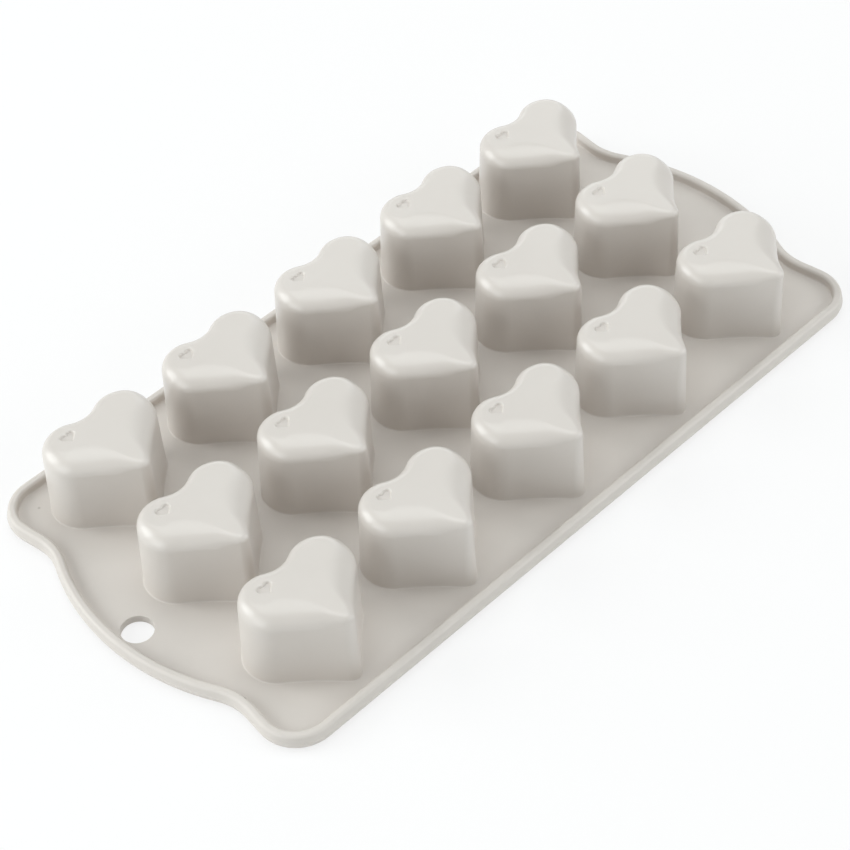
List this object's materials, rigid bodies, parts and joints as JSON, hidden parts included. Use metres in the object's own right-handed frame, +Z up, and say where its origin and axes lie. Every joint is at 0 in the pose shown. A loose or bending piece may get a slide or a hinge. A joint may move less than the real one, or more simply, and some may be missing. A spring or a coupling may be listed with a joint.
{
  "type": "chocolate mould",
  "caption": "Soft one-piece mould tray with a grid of heart-shaped cups, a raised rim, bulging end tabs and a hanging hole.",
  "frame": {"origin": "centre of the overall footprint on the flat face that the cups open through, which lies on the table", "axes": "+X along the length, away from the end with the hanging hole; +Y across, from the hearts' points towards their lobes; +Z up, towards the closed tops of the cups"},
  "size_m": [0.215, 0.1076, 0.0233],
  "materials": {
    "silicone": "satin"
  },
  "bodies": {
    "root": {"mould": "silicone"}
  },
  "joints": []
}
